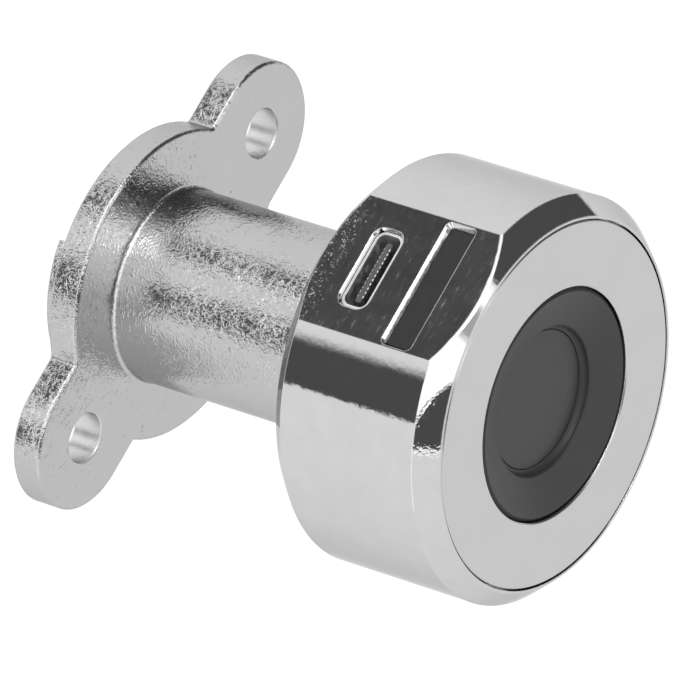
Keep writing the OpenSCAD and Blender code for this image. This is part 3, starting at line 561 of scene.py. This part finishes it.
class LOCK_OT_stage(Operator):
    """Sets the white room, its cards and key lights, the floor and the camera"""
    bl_idname = "lock.stage"
    bl_label = "Stage"
    lamp_size = 0.30
    lamp_distance = 0.9
    lamp_towards = (0.18, -0.30, 0.95)
    camera_back = (-0.3130, -0.5430, 0.7801)
    camera_right = (0.4723, -0.8011, -0.3685)
    camera_target = (0.0033, -0.0147, -0.0089)
    camera_lens = 640.0
    floor_reach = 3.0
    floor_rows = 9
    floor_colour = (0.25, 0.25, 0.25, 1.0)
    floor_glow = 0.82

    def execute(self, context):
        stage = context.scene.lock_stage
        self.light_room(context.scene, stage)
        self.hang_lamp(context.scene, stage)
        self.lay_floor(stage)
        self.set_camera(context.scene, stage)
        context.scene.view_settings.view_transform = "Standard"
        return {"FINISHED"}

    def light_room(self, scene, stage):
        """White to the camera, a plain sky to matt surfaces, and to metal a room with cards and lights."""
        world = bpy.data.worlds.new("lock_room")
        scene.world = world
        world.use_nodes = True
        bench = Bench(world.node_tree)
        room = Room(bench)
        wedge = room.grey_wedge()
        walls = bench.step(room.z, -1.2, 1.2, 0.97, 1.03) - wedge * 0.45
        bright = walls + room.key_lights(wedge) * (stage.key - 1.0)
        dark = room.dark_cards()
        level = bright * (1.0 - dark) + dark * stage.card
        seen = bench.add("ShaderNodeLightPath", output="Is Camera Ray")
        mirrored = bench.add("ShaderNodeLightPath", output="Is Glossy Ray")
        unseen = mirrored * level * stage.level + (1.0 - mirrored) * stage.sky
        back = bench.add("ShaderNodeBackground", None, {
            "Color": WHITE, "Strength": seen + (1.0 - seen) * unseen})
        bench.add("ShaderNodeOutputWorld", None, {"Surface": back})

    def hang_lamp(self, scene, stage):
        lamp = bpy.data.lights.new("soft_key", "AREA")
        lamp.shape = "DISK"
        lamp.size = self.lamp_size
        lamp.energy = stage.lamp
        holder = bpy.data.objects.new("soft_key", lamp)
        towards = Vector(self.lamp_towards).normalized()
        turn = towards.to_track_quat("Z", "Y").to_matrix().to_4x4()
        holder.matrix_world = Matrix.Translation(towards * self.lamp_distance) @ turn
        scene.collection.objects.link(holder)

    def lay_floor(self, stage):
        """White floor well below the lock: a flat grid, x and y even, z fixed. It is clear from below."""
        reach = np.linspace(-self.floor_reach, self.floor_reach, self.floor_rows)
        x, y = np.meshgrid(reach, reach, indexing="ij")
        points = np.stack([x, y, np.full_like(x, stage.floor_drop)], axis=-1)
        material, bench, shader = finish("floor_white", 0.0, Roughness=1.0, Specular_IOR_Level=0.0,
                                         Base_Color=self.floor_colour, Emission_Color=WHITE,
                                         Emission_Strength=self.floor_glow)
        below = bench.add("ShaderNodeNewGeometry", output="Backfacing")
        clear = bench.add("ShaderNodeBsdfTransparent")
        both = bench.add("ShaderNodeMixShader", None, {0: below, 1: Wire(bench, shader.outputs[0]), 2: clear})
        bench.feed(bench.tree.nodes["Material Output"].inputs["Surface"], both)
        floor = surface("floor", points, material)
        floor.visible_glossy = False

    def set_camera(self, scene, stage):
        """Long lens at the photograph's angle: columns right, up and back make the camera's turn."""
        back = Vector(self.camera_back).normalized()
        right = Vector(self.camera_right)
        right = (right - back * right.dot(back)).normalized()
        up = back.cross(right)
        camera = bpy.data.cameras.new("camera")
        camera.lens = self.camera_lens
        camera.sensor_width = 36.0
        camera.clip_start = 0.05
        camera.clip_end = 10.0
        holder = bpy.data.objects.new("camera", camera)
        place = Matrix.Translation(Vector(self.camera_target) + back * stage.distance)
        holder.matrix_world = place @ Matrix((right, up, back)).transposed().to_4x4()
        scene.collection.objects.link(holder)
        scene.camera = holder


STEPS = ("mounting_body", "knob", "finger_rest", "port", "window", "electronics", "mechanism", "stage")


class LOCK_PT_panel(Panel):
    """Lists the lock's finishes, pieces and stage"""
    bl_idname = "LOCK_PT_panel"
    bl_label = "Fingerprint Cabinet Lock"
    bl_space_type = "VIEW_3D"
    bl_region_type = "UI"
    bl_category = "Lock"

    def draw(self, context):
        layout = self.layout
        for group in GROUPS:
            values = getattr(context.scene, group)
            box = layout.box()
            for name in values.bl_rna.properties.keys():
                if name not in {"rna_type", "name"}:
                    box.prop(values, name)
        for step in STEPS:
            layout.operator(f"lock.{step}")


GROUPS = {"lock_finish": LockFinish, "lock_contacts": LockContacts, "lock_stage": LockStage}
CLASSES = (*GROUPS.values(), LOCK_OT_mounting_body, LOCK_OT_knob, LOCK_OT_finger_rest, LOCK_OT_port,
           LOCK_OT_window, LOCK_OT_electronics, LOCK_OT_mechanism, LOCK_OT_stage, LOCK_PT_panel)


def register():
    for item in CLASSES:
        bpy.utils.register_class(item)
    for name, group in GROUPS.items():
        setattr(bpy.types.Scene, name, PointerProperty(type=group))


def unregister():
    for name in GROUPS:
        delattr(bpy.types.Scene, name)
    for item in reversed(CLASSES):
        bpy.utils.unregister_class(item)


def main():
    register()
    for step in STEPS:
        if getattr(bpy.ops.lock, step)() != {"FINISHED"}:
            raise RuntimeError(f"step {step} did not finish")


if __name__ == "__main__":
    main()
